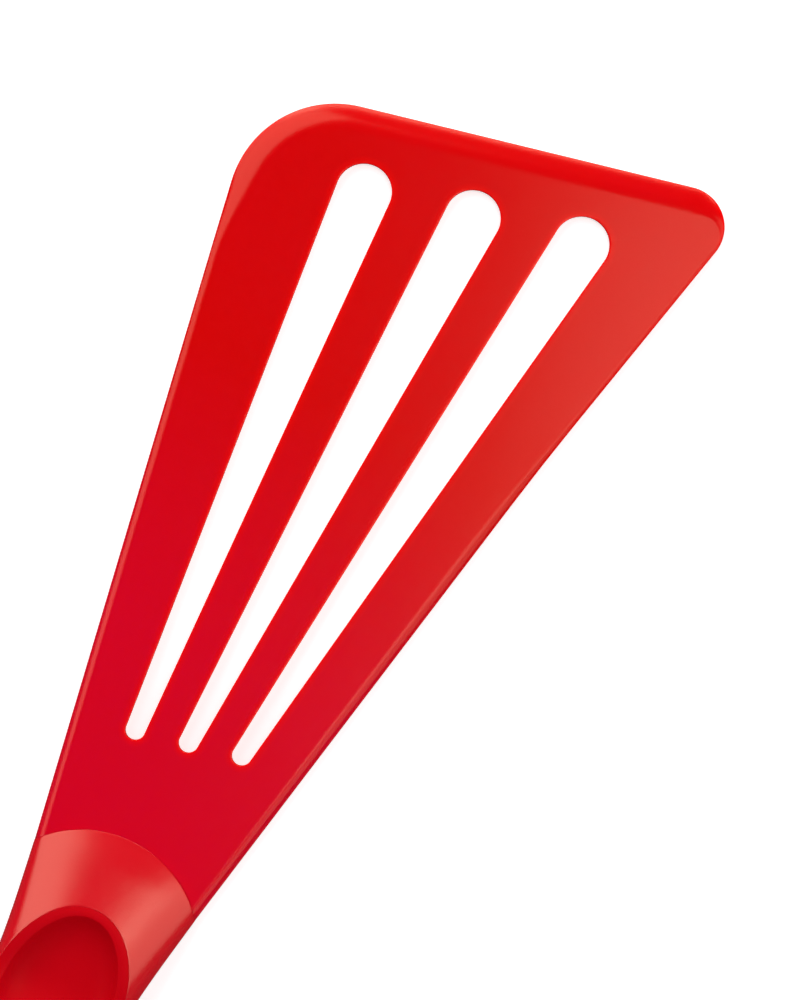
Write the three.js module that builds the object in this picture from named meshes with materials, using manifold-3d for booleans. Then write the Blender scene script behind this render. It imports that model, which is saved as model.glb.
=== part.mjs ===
// A slotted kitchen turner: a soft blade moulded over a sprung steel core, whose tang is pinned
// between the two shells of a hollow handle with a dished thumb pad.
// Millimetres. X runs across the blade, Y along the tool towards the leading edge, Z up.
// Places are measured from the mouth of the handle, where it meets the blade, on the tool's axis at the
// level of the blade's underside. The finished model's origin lies neckDatum ahead of the mouth.

import * as THREE from 'three';
import { mergeVertices } from 'three/addons/utils/BufferGeometryUtils.js';
import Module from 'manifold-3d';

const wasm = await Module();
wasm.setup();

// Fits
const clearance = 0.3;
const neckDatum = 14.5;

// Blade outline, angles in degrees
const bladeLength = 152.5;
const mouthWidth = 33.7;
const flareAngle = 10.35;
const tipFlareAngle = 12.2;
const tipFlareStart = 103;
const tipFlareRadius = 600;
const leadSkew = 13.3;
const roundCornerRadius = 20;
const sharpCornerRadius = 7.5;
const crescentRadius = 21.6;
const crescentApex = 6.6;

// Blade section: the rim is rounded on the sides and a broad bevel on the leading edge, which goes round
// the round corner and runs out with a tail along the left side. The powers shape the rim's section: with
// a rim power and a roundness of 2 it is a quarter of an ellipse.
const neckThickness = 3.4;
const tipThickness = 2.2;
const sideRim = 2.2;
const leadRim = 5;
const bevelRunout = 18.5;
const bevelTail = 13;
const sideRimRoundness = 2;
const leadRimRoundness = 1;
const rimPower = 1.8;
const sideEdgeHeight = 1.2;
const leadEdgeHeight = 0.8;
const sideUndersideEase = 0.4;
const leadUndersideEase = 0.25;

// Slots: tapered, round-ended, in a fan whose ends step forward with the leading edge
const slotCount = 3;
const slotFarRadius = 5.18;
const slotNearRadius = 1.82;
const slotFarPitch = 20.15;
const slotNearPitch = 9.85;
const slotFarSetback = 14.78;
const slotNearDistance = 27.5;
const slotFarShift = 3.45;
const slotNearShift = 0.65;
const slotEase = 0.5;

// Thumb pad: an oval with a flat ring, flush with the crown of the handle, round a dish. A bowl of the top
// shell carries the dish.
const padFront = 7.9;
const padLength = 36.4;
const padSideLand = 0.8;
const padThickness = 1.2;
const ringFront = 1.6;
const ringSide = 2.1;
const dishDepth = 2.7;
const dishPower = 6;
const bowlWall = 1;

// Handle: widths and heights at stations behind the mouth, crown above and belly below the parting plane
const handleLength = 158;
const handleRise = 9.7;
const sectionPower = 2.2;
const mouthRunout = 8;
const mouthCrown = 4.35;
const crownClimb = 0.2;
const thumbStation = 22;
const thumbWidth = 27.2;
const thumbCrown = 6.5;
const thumbBelly = 5.2;
const heelStation = 40;
const heelWidth = 26.2;
const heelCrown = 6.4;
const heelBelly = 6.6;
const waistStation = 85;
const waistWidth = 22.8;
const waistCrown = 7;
const waistBelly = 7;
const swellInset = 23;
const swellWidth = 25;
const swellCrown = 7;
const swellBelly = 6.8;
const buttDome = 13;

// Inside the handle
const handleWall = 2;
const hollowSetback = 3.7;
const lipThickness = 1.1;
const lipReach = 0.25;
const lipHeight = 1.2;
const ribThickness = 1.6;
const ribPitch = 15;
const ribCount = 3;

// Hanging hole
const hangLength = 15;
const hangWidth = 8;
const hangInset = 12.5;
const hangCollar = 1.8;

// Tang pins, along the hollow from its front end
const pinRadius = 2;
const pinSetback = 8;
const pinPitch = 20;
const pinCover = 1.4;
const pinAbove = 4.6;
const bossWall = 2.2;

// Steel core
const coreThickness = 0.6;
const coreSideMargin = 5.5;
const coreLeadMargin = 8.5;
const coreSlotMargin = 1.5;
const coreCornerRadius = 6;
const coreShoulder = 17;
const tangRootAhead = 7;
const tangWidth = 15;
const tangEndWidth = 11;
const tangOverhang = 7;
const tangFillet = 4;
const tangBendStart = 16;
const tangBendRadius = 70;
const tangExtraBend = 1.8;

// Fineness of curved faces
const cornerSteps = 6;
const bevelTailSteps = 3;
const rimSteps = 4;
const roundEndSteps = 12;
const sectionPoints = 28;
const handleSteps = 20;
const stationGrowth = 1.4;
const domeSteps = 5;
const domeTurn = 85;
const padPoints = 32;
const dishSteps = 8;
const dishGrowth = 1.7;
const dishReach = 0.95;
const sheetStep = 4;
const roundSegments = 24;
const crescentSegments = 96;

// Reach of the blocks that cut space apart, beyond every piece
const beyond = 60;

const radians = THREE.MathUtils.degToRad;
const mouthHalf = mouthWidth / 2;
const coreHalf = coreThickness / 2;
const flareSlope = Math.tan(radians(flareAngle));
const crescentCentre = crescentApex - crescentRadius;
const padHalfLength = padLength / 2;
const padCentre = padFront + padHalfLength;
const hollowStart = padFront + padLength + hollowSetback;
const buttStart = handleLength - buttDome;
const pinStations = {
  tang_pin_front: hollowStart + pinSetback,
  tang_pin_rear: hollowStart + pinSetback + pinPitch,
};
const tangLength = pinStations.tang_pin_rear + tangOverhang;
const tangBendAngle = radians(handleRise + tangExtraBend);

// Solids and booleans

function solid(geometry) {
  const bare = new THREE.BufferGeometry();
  bare.setAttribute('position', geometry.getAttribute('position'));
  bare.setIndex(geometry.getIndex());
  const merged = mergeVertices(bare);
  const vertProperties = Float32Array.from(merged.getAttribute('position').array);
  const triVerts = Uint32Array.from(merged.getIndex().array);
  return new wasm.Manifold(new wasm.Mesh({ numProp: 3, vertProperties, triVerts }));
}

function geometryOf(body) {
  const mesh = body.getMesh();
  const geometry = new THREE.BufferGeometry();
  geometry.setAttribute('position', new THREE.BufferAttribute(Float32Array.from(mesh.vertProperties), 3));
  geometry.setIndex(Array.from(mesh.triVerts));
  geometry.translate(0, -neckDatum, 0);
  const faceted = geometry.toNonIndexed();
  faceted.computeVertexNormals();
  return faceted;
}

function union(bodies) {
  return bodies.reduce((sum, body) => sum.add(body));
}

// count values from 0 to 1
function shares(count) {
  return Array.from({ length: count + 1 }, (_, i) => i / count);
}

// A closed skin over rings of equal point counts, capped flat at both ends.
// flatten gives a ring's points in the plane that its caps are cut into triangles in.
function loft(rings, flatten) {
  const count = rings[0].length;
  const positions = rings.flat().flatMap((point) => [point.x, point.y, point.z]);
  const index = [];
  for (let ring = 0; ring < rings.length - 1; ring += 1) {
    for (let i = 0; i < count; i += 1) {
      const next = (i + 1) % count;
      const low = ring * count;
      const high = low + count;
      index.push(low + i, low + next, high + next);
      index.push(low + i, high + next, high + i);
    }
  }
  [0, rings.length - 1].forEach((ring) => {
    const contour = rings[ring].map(flatten);
    const turn = Math.sign(THREE.ShapeUtils.area(contour));
    THREE.ShapeUtils.triangulateShape(contour, []).forEach(([a, b, c]) => {
      const same = THREE.ShapeUtils.area([contour[a], contour[b], contour[c]]) * turn > 0;
      const start = ring * count;
      const outward = same === (ring > 0) ? [a, b, c] : [a, c, b];
      index.push(...outward.map((corner) => start + corner));
    });
  });
  const geometry = new THREE.BufferGeometry();
  geometry.setAttribute('position', new THREE.Float32BufferAttribute(positions, 3));
  geometry.setIndex(index);
  const body = solid(geometry);
  if (body.volume() > 0) return body;
  geometry.setIndex(index.reverse());
  return solid(geometry);
}

const planOf = (point) => new THREE.Vector2(point.x, point.y);
const crossOf = (point) => new THREE.Vector2(point.x, point.z);

// A plan outline carried up and down through everything
function prism(outline) {
  const settings = { depth: 2 * beyond, bevelEnabled: false };
  const geometry = new THREE.ExtrudeGeometry(new THREE.Shape(outline), settings);
  return solid(geometry.translate(0, 0, -beyond));
}

function cylinder(radius, y, bottom, top, segments) {
  const geometry = new THREE.CylinderGeometry(radius, radius, top - bottom, segments);
  return solid(geometry.rotateX(Math.PI / 2).translate(0, y, (bottom + top) / 2));
}

// A side profile, in Y and Z, carried across the tool to both sides of its axis
function sideExtrusion(points, halfWidth) {
  const settings = { depth: 2 * halfWidth, bevelEnabled: false };
  const geometry = new THREE.ExtrudeGeometry(new THREE.Shape(points), settings);
  const axes = new THREE.Matrix4().makeBasis(
    new THREE.Vector3(0, 1, 0),
    new THREE.Vector3(0, 0, 1),
    new THREE.Vector3(1, 0, 0),
  );
  return solid(geometry.applyMatrix4(axes).translate(-halfWidth, 0, 0));
}

// Plan outlines

// Points round a centre from one angle to another
function arc(centre, radius, from, to, steps) {
  return shares(steps).map((share) => {
    const angle = THREE.MathUtils.lerp(from, to, share);
    return new THREE.Vector2(Math.cos(angle), Math.sin(angle)).multiplyScalar(radius).add(centre);
  });
}

// A closed outline through corners { at, radius }, each rounded by its radius
function roundedOutline(corners) {
  return corners.flatMap(({ at, radius }, i) => {
    if (radius === 0) return [at];
    const before = corners[(i + corners.length - 1) % corners.length].at.clone().sub(at).normalize();
    const after = corners[(i + 1) % corners.length].at.clone().sub(at).normalize();
    const half = Math.acos(before.dot(after)) / 2;
    const turn = Math.sign(after.cross(before)) * (Math.PI / 2 - half);
    const centre = before.add(after).setLength(radius / Math.sin(half)).add(at);
    const middle = at.clone().sub(centre).angle();
    return arc(centre, radius, middle - turn, middle + turn, cornerSteps);
  });
}

// The outline round two circles, which may be of unlike size
function roundEndedOutline(near, nearRadius, far, farRadius) {
  const reach = far.clone().sub(near);
  const heading = reach.angle();
  const spread = Math.PI / 2 + Math.asin((farRadius - nearRadius) / reach.length());
  const farEnd = arc(far, farRadius, heading - spread, heading + spread, roundEndSteps);
  const around = heading + 2 * Math.PI;
  return [...farEnd, ...arc(near, nearRadius, heading + spread, around - spread, roundEndSteps)];
}

// The straight stretches of the blade's outline, each as a point and a direction, moved inwards
function bladeLines(sideInset, leadInset) {
  const line = (x, y, lean, inset) => {
    const along = new THREE.Vector2(Math.sin(lean), Math.cos(lean));
    const inward = new THREE.Vector2(-along.y, along.x).multiplyScalar(inset);
    return { point: new THREE.Vector2(x, y).add(inward), along };
  };
  const lean = radians(flareAngle);
  const flareX = mouthHalf + tipFlareStart * flareSlope;
  return {
    right: line(mouthHalf, 0, lean, sideInset),
    rightTip: line(flareX, tipFlareStart, radians(tipFlareAngle), sideInset),
    lead: line(0, bladeLength, -radians(leadSkew) - Math.PI / 2, leadInset),
    left: line(-mouthHalf, 0, Math.PI - lean, sideInset),
  };
}

function meet(first, second) {
  const between = second.point.clone().sub(first.point);
  const reach = between.cross(second.along) / first.along.cross(second.along);
  return first.point.clone().addScaledVector(first.along, reach);
}

function atDistance(line, y) {
  return line.point.clone().addScaledVector(line.along, (y - line.point.y) / line.along.y);
}

// The blade's outline, run on behind the crescent that later cuts it off
function bladeOutline() {
  const { right, rightTip, lead, left } = bladeLines(0, 0);
  const rear = crescentApex - mouthHalf;
  const blunt = meet(lead, left);
  const tail = shares(bevelTailSteps).map((share) => (
    { at: blunt.clone().addScaledVector(left.along, roundCornerRadius + bevelTail * share), radius: 0 }
  ));
  return roundedOutline([
    { at: atDistance(right, rear), radius: 0 },
    { at: meet(right, rightTip), radius: tipFlareRadius },
    { at: meet(rightTip, lead), radius: sharpCornerRadius },
    { at: blunt, radius: roundCornerRadius },
    ...tail,
    { at: atDistance(left, rear), radius: 0 },
  ]);
}

function coreOutline(grow) {
  const { right, rightTip, lead, left } = bladeLines(coreSideMargin - grow, coreLeadMargin - grow);
  const corner = (x, y) => ({ at: new THREE.Vector2(x, y), radius: tangFillet });
  const rootHalf = tangWidth / 2 + grow;
  const endHalf = tangEndWidth / 2 + grow;
  const endY = -tangLength - grow;
  const rootY = tangRootAhead - grow;
  const shoulderY = coreShoulder - grow;
  return roundedOutline([
    corner(endHalf, endY),
    corner(rootHalf, rootY),
    { at: atDistance(right, shoulderY), radius: tangFillet },
    { at: meet(right, rightTip), radius: tipFlareRadius },
    { at: meet(rightTip, lead), radius: coreCornerRadius },
    { at: meet(lead, left), radius: roundCornerRadius - coreCornerRadius },
    { at: atDistance(left, shoulderY), radius: tangFillet },
    corner(-rootHalf, rootY),
    corner(-endHalf, endY),
  ]);
}

// One slot of the fan
function slotOutline(number, grow) {
  const step = number - (slotCount - 1) / 2;
  const rise = Math.tan(radians(leadSkew));
  const farStep = step * slotFarPitch;
  const nearStep = step * slotNearPitch;
  const far = new THREE.Vector2(slotFarShift + farStep, bladeLength - slotFarSetback + farStep * rise);
  const near = new THREE.Vector2(slotNearShift + nearStep, slotNearDistance + nearStep * rise);
  return roundEndedOutline(near, slotNearRadius + grow, far, slotFarRadius + grow);
}

// Blade

function bladeThickness(y) {
  return THREE.MathUtils.mapLinear(y, 0, bladeLength, neckThickness, tipThickness);
}

// The body cut out for the slots, with eased edges at both faces of the blade
function slotCutters() {
  return union(Array.from({ length: slotCount }, (_, number) => {
    const ring = (grow, share, offset) => slotOutline(number, grow).map((point) => (
      new THREE.Vector3(point.x, point.y, share * bladeThickness(point.y) + offset)
    ));
    return loft([
      ring(slotEase, 0, -beyond),
      ring(slotEase, 0, 0),
      ring(0, 0, slotEase),
      ring(0, 1, -slotEase),
      ring(slotEase, 1, 0),
      ring(slotEase, 1, beyond),
    ], planOf);
  }));
}

// How far the rim is a bevel: 1 on the leading edge and 0 on the sides, by place and outward direction
function bevelShare(point, outward) {
  if (outward.x > 0) return Math.max(0, outward.y);
  const { lead, left } = bladeLines(0, 0);
  const behindCorner = point.clone().sub(meet(lead, left)).dot(left.along);
  const tailEnd = roundCornerRadius + bevelTail;
  return 1 - THREE.MathUtils.smoothstep(behindCorner, tailEnd - bevelRunout, tailEnd);
}

// Rings of the blade's outline from its underside up over the rim to its top face
function bladePlate() {
  const outline = bladeOutline();
  const edge = outline.map((point, i) => {
    const before = outline[(i + outline.length - 1) % outline.length];
    const after = outline[(i + 1) % outline.length];
    const into = point.clone().sub(before).normalize();
    const along = after.clone().sub(point).normalize().add(into).normalize();
    const outward = new THREE.Vector2(along.y, -along.x);
    const bevel = bevelShare(point, outward);
    return {
      point,
      outward,
      rim: THREE.MathUtils.lerp(sideRim, leadRim, bevel),
      height: THREE.MathUtils.lerp(sideEdgeHeight, leadEdgeHeight, bevel),
      roundness: THREE.MathUtils.lerp(sideRimRoundness, leadRimRoundness, bevel),
      ease: THREE.MathUtils.lerp(sideUndersideEase, leadUndersideEase, bevel),
    };
  });
  const ring = (inset, level) => edge.map((place) => {
    const at = place.point.clone().addScaledVector(place.outward, -inset(place));
    return new THREE.Vector3(at.x, at.y, level(place, bladeThickness(at.y)));
  });
  const rim = shares(rimSteps).map((share) => {
    const reach = Math.cos(share * (Math.PI / 2));
    const climb = (place) => (1 - reach ** rimPower) ** (1 / place.roundness);
    const level = (place, top) => THREE.MathUtils.lerp(place.height, top, climb(place));
    return ring((place) => place.rim * (1 - reach), level);
  });
  const underside = ring((place) => place.ease, () => 0);
  const lowerEdge = ring(() => 0, (place) => place.ease);
  return loft([underside, lowerEdge, ...rim], planOf);
}

// Height of the steel sheet's middle: along the blade, then up a bend into the handle
function sheetHeight(y) {
  if (y > 0) return bladeThickness(y) / 2;
  const behind = Math.max(0, -y - tangBendStart);
  const turned = Math.min(behind, tangBendRadius * Math.sin(tangBendAngle));
  const bent = tangBendRadius - Math.sqrt(tangBendRadius ** 2 - turned ** 2);
  return neckThickness / 2 + bent + (behind - turned) * Math.tan(tangBendAngle);
}

// A layer that follows the sheet, from one offset off its middle to another
function sheetLayer(below, above, from, to, halfWidth) {
  const stations = shares(Math.ceil((to - from) / sheetStep)).map((share) => from + (to - from) * share);
  const low = stations.map((y) => new THREE.Vector2(y, sheetHeight(y) + below));
  const high = stations.map((y) => new THREE.Vector2(y, sheetHeight(y) + above));
  return sideExtrusion([...low, ...high.reverse()], halfWidth);
}

function coreBody(grow) {
  const half = coreHalf + grow;
  const sheet = sheetLayer(-half, half, -tangLength - beyond, bladeLength + beyond, beyond);
  const openings = Array.from({ length: slotCount }, (_, number) => (
    prism(slotOutline(number, coreSlotMargin - grow))
  ));
  return prism(coreOutline(grow)).intersect(sheet).subtract(union(openings));
}

function mouthCylinder(radius) {
  return cylinder(radius, crescentCentre, -beyond, beyond, crescentSegments);
}

function bladeSkin() {
  const plate = bladePlate().subtract(mouthCylinder(crescentRadius + clearance));
  return plate.subtract(slotCutters()).subtract(coreBody(clearance));
}

// An upright round through both pins' places
function pinColumns(radius) {
  return union(Object.values(pinStations).map((station) => (
    cylinder(radius, -station, -beyond, beyond, roundSegments)
  )));
}

function bladeCore() {
  return coreBody(0).subtract(pinColumns(pinRadius + clearance));
}

// Handle

function partingHeight(behind) {
  return neckThickness / 2 + behind * Math.tan(radians(handleRise));
}

// Half width, crown and belly at stations behind the mouth, with a smooth curve between them
const stations = [
  [-mouthRunout, mouthHalf + mouthRunout * flareSlope, mouthCrown - mouthRunout * crownClimb, 0],
  [0, mouthHalf, mouthCrown, partingHeight(0)],
  [thumbStation, thumbWidth / 2, thumbCrown, thumbBelly],
  [heelStation, heelWidth / 2, heelCrown, heelBelly],
  [waistStation, waistWidth / 2, waistCrown, waistBelly],
  [handleLength - swellInset, swellWidth / 2, swellCrown, swellBelly],
];
const valuesPerStation = stations[0].length - 1;
const stationCurve = new THREE.CubicInterpolant(
  stations.map((station) => station[0]),
  stations.flatMap((station) => station.slice(1)),
  valuesPerStation,
  new Float64Array(valuesPerStation),
);

// The belly stops at the level of the blade's underside
function handleSection(behind) {
  const [halfWidth, crown, belly] = stationCurve.evaluate(behind);
  const parting = partingHeight(behind);
  return { halfWidth, crown, belly: Math.min(belly, parting), parting };
}

function crownHeight(x, behind) {
  const { halfWidth, crown, parting } = handleSection(behind);
  const share = Math.min(1, Math.abs(x) / halfWidth);
  return parting + crown * (1 - share ** sectionPower) ** (1 / sectionPower);
}

function rounded(value) {
  return Math.sign(value) * Math.abs(value) ** (2 / sectionPower);
}

// The handle's outer form drawn in by an inset, from a station to its domed butt
function handleForm(inset, from) {
  const ring = (behind, section, share) => Array.from({ length: sectionPoints }, (_, i) => {
    const angle = (2 * Math.PI * i) / sectionPoints;
    const height = angle < Math.PI ? section.crown - inset : section.belly - inset;
    const x = (section.halfWidth - inset) * share * rounded(Math.cos(angle));
    const z = partingHeight(behind) + height * share * rounded(Math.sin(angle));
    return new THREE.Vector3(x, -behind, z);
  });
  const barrel = shares(handleSteps).map((share) => {
    const behind = from + (buttStart - from) * share ** stationGrowth;
    return ring(behind, handleSection(behind), 1);
  });
  const dome = shares(domeSteps).slice(1).map((share) => {
    const turn = share * radians(domeTurn);
    const behind = buttStart + (buttDome - inset) * Math.sin(turn);
    return ring(behind, handleSection(buttStart), Math.cos(turn));
  });
  return loft([...barrel, ...dome], crossOf);
}

// Everything between two offsets from the parting plane
function partingLayer(below, above) {
  const front = -beyond;
  const rear = handleLength + beyond;
  const corner = (behind, offset) => new THREE.Vector2(-behind, partingHeight(behind) + offset);
  const low = [corner(rear, below), corner(front, below)];
  const high = [corner(front, above), corner(rear, above)];
  return sideExtrusion([...low, ...high], beyond);
}

function hangOutline(grow) {
  const half = (hangLength - hangWidth) / 2;
  const middle = hangInset - handleLength;
  const end = (side) => new THREE.Vector2(0, middle + side * half);
  return roundEndedOutline(end(-1), hangWidth / 2 + grow, end(1), hangWidth / 2 + grow);
}

// What both shells share: the hollow form with its ribs, pin bosses and hanging collar
function handleBody() {
  const grip = new THREE.BoxGeometry(2 * beyond, handleLength, 2 * beyond);
  grip.translate(0, crescentCentre - handleLength / 2, 0);
  const behindMouth = mouthCylinder(crescentRadius).add(solid(grip));
  const form = handleForm(0, -mouthRunout).intersect(behindMouth);
  const inside = handleForm(handleWall / 2, hollowStart - ribThickness);
  const ribs = Array.from({ length: ribCount }, (_, i) => {
    const slab = new THREE.BoxGeometry(2 * beyond, ribThickness, 2 * beyond);
    return solid(slab.translate(0, -tangLength - ribPitch * (i + 0.5), 0));
  });
  const bosses = pinColumns(pinRadius + clearance + bossWall);
  const fittings = union([...ribs, bosses, prism(hangOutline(hangCollar))]).intersect(inside);
  return form.subtract(handleForm(handleWall, hollowStart)).add(fittings).subtract(prism(hangOutline(0)));
}

// A pin's lower and upper ends: it stops short of the handle's underside and stands above the tang
function pinEnds(station) {
  const { parting, belly } = handleSection(station);
  return { low: parting - belly + pinCover + clearance, high: sheetHeight(-station) + pinAbove };
}

function pinHoles() {
  return union(Object.values(pinStations).map((station) => {
    const { low, high } = pinEnds(station);
    return cylinder(pinRadius + clearance, -station, low - clearance, high + clearance, roundSegments);
  }));
}

// The lip that stands up from the bottom shell inside the top shell's rim, grown by a gap
function lipBand(gap, top) {
  const inner = handleForm(handleWall + lipReach + gap, hollowStart - ribThickness);
  const outer = handleForm(handleWall + lipReach - lipThickness - gap, hollowStart);
  return outer.subtract(inner).intersect(partingLayer(-lipHeight, top));
}

// The top shell's keel, grown by a gap: it presses on the tang, below a bowl round the pad's dish
function keelBody(gap) {
  const tangTop = coreHalf + clearance - gap;
  const keel = sheetLayer(tangTop, beyond, -hollowStart, beyond, tangWidth / 2 + gap);
  return keel.add(padSpace(dishProfile().slice(1), clearance + bowlWall + gap));
}

// The top shell reaches below the parting plane with its keel and with two bosses on the tang
function handleTopShell(body) {
  const tangTop = coreHalf + clearance;
  const aboveTang = sheetLayer(tangTop, beyond, -handleLength, beyond, beyond);
  const bosses = pinColumns(pinRadius + clearance + bossWall).intersect(aboveTang);
  const upper = union([partingLayer(clearance / 2, beyond), keelBody(0), bosses]);
  const tangSpace = sheetLayer(-beyond, tangTop, -hollowStart, beyond, tangWidth / 2 + clearance);
  const groove = lipBand(clearance, lipHeight + clearance);
  const pocket = padSpace(dishProfile(), clearance);
  return body.intersect(upper).subtract(union([tangSpace, groove, pinHoles(), pocket]));
}

// The bottom shell carries the tang in a channel and on two bosses
function handleBottomShell(body) {
  const tangBottom = -coreHalf - clearance;
  const channel = sheetLayer(tangBottom, beyond, -hollowStart, beyond, tangWidth / 2 + clearance);
  const aboveTang = sheetLayer(tangBottom, beyond, -handleLength, beyond, beyond);
  const bosses = pinColumns(pinRadius + bossWall + 2 * clearance).intersect(aboveTang);
  const lip = lipBand(0, lipHeight).subtract(prism(hangOutline(hangCollar)));
  const lower = body.intersect(partingLayer(-beyond, -clearance / 2)).add(lip);
  return lower.subtract(union([channel, keelBody(clearance), bosses, pinHoles()]));
}

function tangPin(station) {
  const { low, high } = pinEnds(station);
  return cylinder(pinRadius, -station, low, high, roundSegments);
}

// Thumb pad

const padHalfWidth = handleSection(padCentre).halfWidth - padSideLand;

// Level of the pad's ring, straight across the tool between the points where its oval meets the crown
function padRingHeight(behind) {
  const share = Math.min(1, Math.abs(behind - padCentre) / padHalfLength);
  return crownHeight(padHalfWidth * Math.sqrt(1 - share ** 2), behind);
}

// The pad from its edge inwards: distances in from the oval's ends and sides, and depth.
// Inside the ring the dish falls steeply and levels out towards its middle.
function dishProfile() {
  const edge = { along: 0, across: 0, drop: 0 };
  const dish = shares(dishSteps).map((step) => {
    const share = dishReach * step ** dishGrowth;
    return {
      along: THREE.MathUtils.lerp(ringFront, padHalfLength, share),
      across: THREE.MathUtils.lerp(ringSide, padHalfWidth, share),
      drop: dishDepth * (1 - (1 - share) ** dishPower),
    };
  });
  return [edge, ...dish];
}

// One oval of the pad, grown in plan and set off the level of the dish
function padRing({ along, across, drop }, grow, offset) {
  return Array.from({ length: padPoints }, (_, i) => {
    const angle = (2 * Math.PI * i) / padPoints;
    const behind = padCentre + (padHalfLength - along) * Math.cos(angle);
    const x = (padHalfWidth - across + grow) * Math.sin(angle);
    const y = -behind - grow * Math.cos(angle);
    return new THREE.Vector3(x, y, padRingHeight(behind) - drop + offset);
  });
}

function thumbPad() {
  const over = dishProfile().map((step) => padRing(step, 0, 0));
  const under = dishProfile().map((step) => padRing(step, 0, -padThickness));
  return loft([...under.reverse(), ...over], planOf);
}

// The space within some steps of the pad's underside, drawn out by a gap and open upwards
function padSpace(steps, gap) {
  const under = steps.map((step) => padRing(step, gap, -padThickness - gap));
  return loft([...under.reverse(), padRing(steps[0], gap, beyond)], planOf);
}

// Assembly

const softRed = { color: 0xd2101c, roughness: 0.45, metalness: 0 };
const handleRed = { color: 0xcf1420, roughness: 0.42, metalness: 0 };
const padRed = { color: 0xc20f1b, roughness: 0.6, metalness: 0 };
const steel = { color: 0xb8babd, roughness: 0.35, metalness: 1 };

const group = new THREE.Group();

function addPiece(name, body, finish) {
  const mesh = new THREE.Mesh(geometryOf(body), new THREE.MeshStandardMaterial(finish));
  mesh.name = name;
  group.add(mesh);
}

const handle = handleBody();
addPiece('blade_skin', bladeSkin(), softRed);
addPiece('blade_core', bladeCore(), steel);
addPiece('handle_top_shell', handleTopShell(handle), handleRed);
addPiece('handle_bottom_shell', handleBottomShell(handle), handleRed);
addPiece('thumb_pad', thumbPad(), padRed);
Object.entries(pinStations).forEach(([name, station]) => addPiece(name, tangPin(station), steel));

export default group;
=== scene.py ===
"""A red slotted kitchen turner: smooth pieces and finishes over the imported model."""

import math

import bmesh
import bpy
import numpy as np
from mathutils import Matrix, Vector
from mathutils.geometry import delaunay_2d_cdt
from mathutils.kdtree import KDTree


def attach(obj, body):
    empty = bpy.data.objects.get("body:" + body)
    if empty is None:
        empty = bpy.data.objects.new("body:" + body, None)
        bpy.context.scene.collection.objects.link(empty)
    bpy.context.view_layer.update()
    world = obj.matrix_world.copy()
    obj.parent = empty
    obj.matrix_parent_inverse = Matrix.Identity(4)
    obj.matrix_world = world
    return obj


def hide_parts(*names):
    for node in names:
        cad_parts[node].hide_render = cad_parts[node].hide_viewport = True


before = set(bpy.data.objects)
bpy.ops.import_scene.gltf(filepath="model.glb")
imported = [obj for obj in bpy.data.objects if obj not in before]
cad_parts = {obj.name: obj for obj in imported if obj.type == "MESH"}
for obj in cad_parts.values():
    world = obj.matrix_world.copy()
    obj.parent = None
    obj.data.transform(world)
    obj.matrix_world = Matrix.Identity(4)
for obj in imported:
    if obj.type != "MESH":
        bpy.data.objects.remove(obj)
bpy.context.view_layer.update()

# The pieces' sizes are in millimetres, from the handle's mouth on the tool's axis. make_object turns them
# into metres and moves them to the model's origin.
MM = 0.001
NECK_DATUM = 14.5
PART_GAP = 0.3
BLADE_SEAM = 0.01

# Blade outline
BLADE_LENGTH = 152.5
MOUTH_HALF = 16.85
FLARE = math.radians(10.35)
TIP_FLARE = math.radians(12.2)
TIP_FLARE_START = 103
TIP_FLARE_RADIUS = 600
LEAD_SKEW = math.radians(13.3)
ROUND_CORNER = 20
SHARP_CORNER = 7.5
CRESCENT_RADIUS = 21.6
CRESCENT_APEX = 6.6
CRESCENT_CENTRE = CRESCENT_APEX - CRESCENT_RADIUS

# Blade section: each rim is given by its width, the height of its outer edge and its roundness. It is
# rounded on the sides, slimmer on the right side towards the tip, and a broad bevel on the leading edge,
# which goes round the round corner and runs out with a tail along the left side. A painted glow, a
# brighter red that stands in for light through the thin edges, shows as far in as the glow's reach.
NECK_THICKNESS = 3.4
TIP_THICKNESS = 2.2
SIDE_RIM = Vector((1.9, 1.8, 2))
SLIM_RIM = Vector((0.6, 1.9, 2))
LEAD_RIM = Vector((4.9, 0.8, 1))
SLIM_START = 80
SLIM_RUN = 40
BEVEL_RUNOUT = 18.5
BEVEL_TAIL = 13
UNDERSIDE_EASE = 0.4
PAINTED_GLOW_REACH = 1.4

# Slots
SLOT_COUNT = 3
SLOT_FAR_RADIUS = 5.18
SLOT_NEAR_RADIUS = 1.82
SLOT_FAR_PITCH = 20.15
SLOT_NEAR_PITCH = 9.85
SLOT_FAR_SETBACK = 14.78
SLOT_NEAR_DISTANCE = 27.5
SLOT_FAR_SHIFT = 3.45
SLOT_NEAR_SHIFT = 0.65
SLOT_EASE = 0.12

# Handle: a station gives the distance behind the mouth, the half width, and the crown above and the belly
# below the parting plane
HANDLE_LENGTH = 158
HANDLE_RISE = math.tan(math.radians(9.7))
FRONT_REACH = 8
SECTION_POWER = 2.2
STATIONS = np.array([
    (-FRONT_REACH, MOUTH_HALF + FRONT_REACH * math.tan(FLARE), 2.75, 0),
    (0, MOUTH_HALF, 4.35, NECK_THICKNESS / 2),
    (22, 13.6, 6.5, 5.2),
    (40, 13.1, 6.4, 6.6),
    (85, 11.4, 7, 7),
    (135, 12.5, 7, 6.8),
])
BUTT_DOME = 13
BUTT_START = HANDLE_LENGTH - BUTT_DOME
DOME_ARC = 20
DOME_REACH = 0.97
SKIN_END = BUTT_START + DOME_ARC * DOME_REACH
LIP_EASE = 0.05
HOLLOW_START = 48
HANDLE_WALL = 2

# Hanging hole
HANG_LENGTH = 15
HANG_WIDTH = 8
HANG_INSET = 12.5
HANG_EASE = 1.2

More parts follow.
